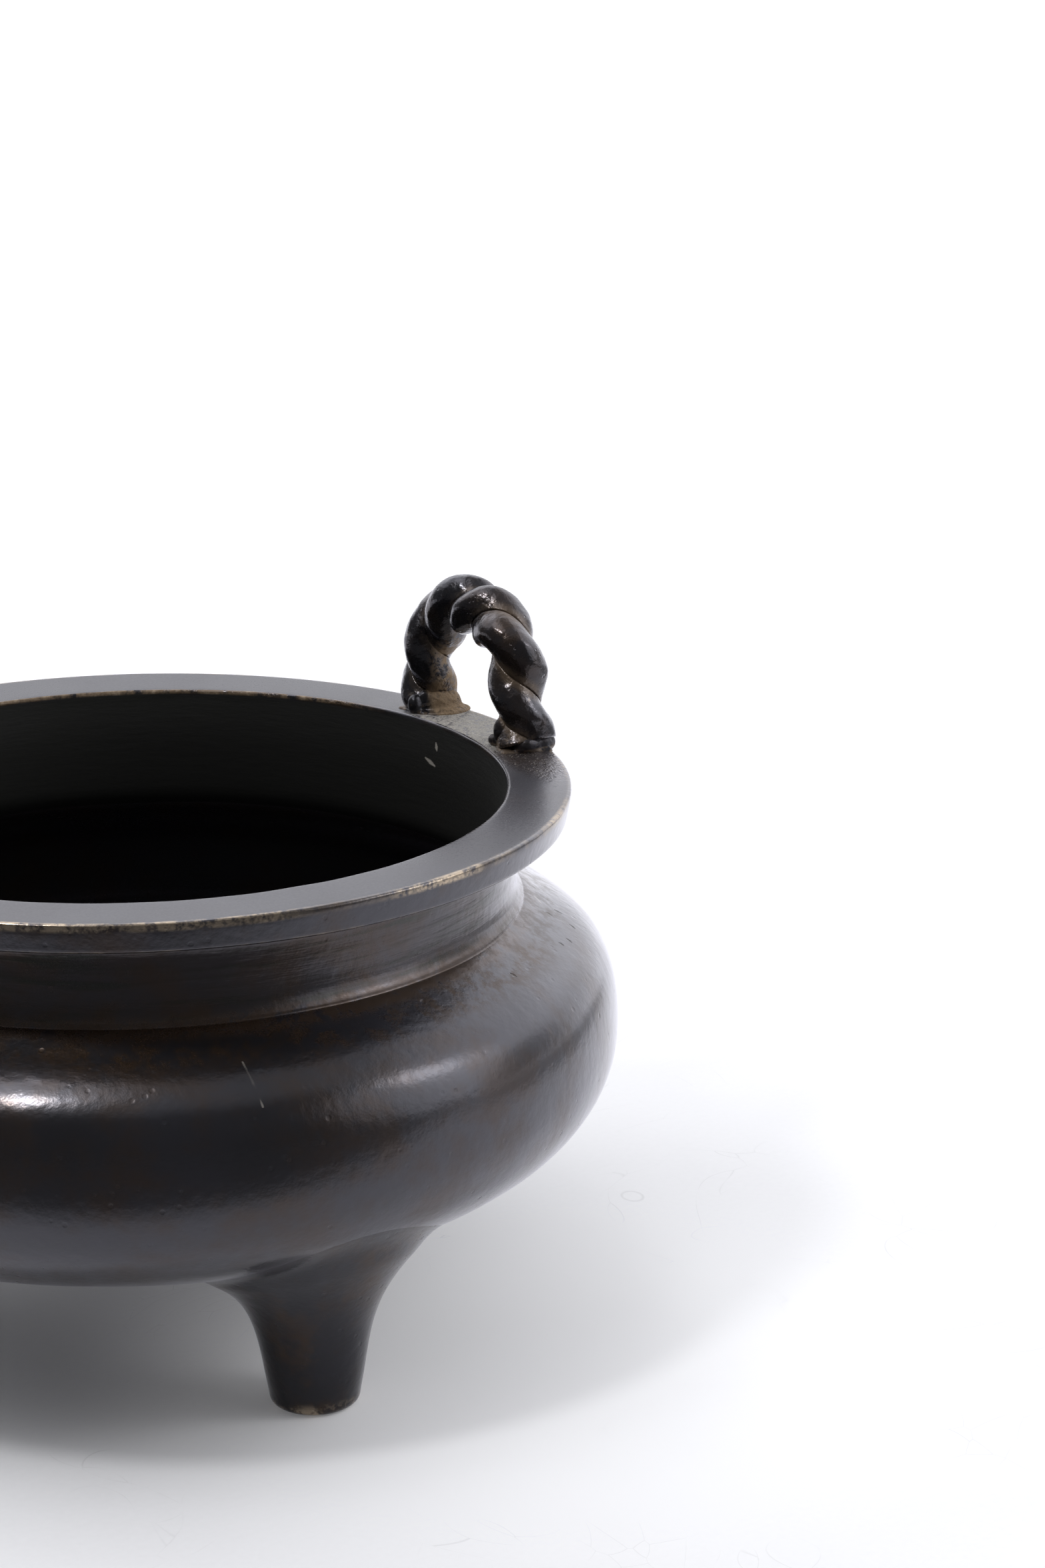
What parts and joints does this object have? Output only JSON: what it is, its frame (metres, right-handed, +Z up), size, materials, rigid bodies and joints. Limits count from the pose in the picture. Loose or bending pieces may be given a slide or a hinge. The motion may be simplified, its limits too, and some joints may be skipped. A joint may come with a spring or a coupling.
{
  "type": "tripod censer",
  "caption": "Bronze tripod censer: low bulbous bowl with a short neck and a flat lip, flaring feet under the belly and upright rope-twist handles on the lip.",
  "frame": {"origin": "on the bowl's axis, at the height of the soles, so the censer stands on z = 0", "axes": "+Z up along the bowl's axis; the handles stand on the lip at +X and -X; the front foot points to -Y"},
  "size_m": [0.144, 0.144, 0.1045],
  "materials": {
    "bowl_bronze": "dark brown-black patinated bronze, semi-gloss with a bluish sheen, worn to brass along the lip's outer edge",
    "foot_bronze": "dark brown-black patinated bronze, satin, worn to brass round the sole",
    "handle_bronze": "dark brown patinated cast bronze, glossy on the crowns of the strands, pitted",
    "seat_bronze": "rough dark bronze with tan casting earth left in the corners"
  },
  "bodies": {
    "root": {"bowl": "bowl_bronze", "front_foot": "foot_bronze", "right_rear_foot": "foot_bronze", "left_rear_foot": "foot_bronze", "right_handle_first_strand": "handle_bronze", "right_handle_second_strand": "handle_bronze", "left_handle_first_strand": "handle_bronze", "left_handle_second_strand": "handle_bronze", "right_handle_front_seat": "seat_bronze", "right_handle_rear_seat": "seat_bronze", "left_handle_front_seat": "seat_bronze", "left_handle_rear_seat": "seat_bronze"}
  },
  "joints": []
}
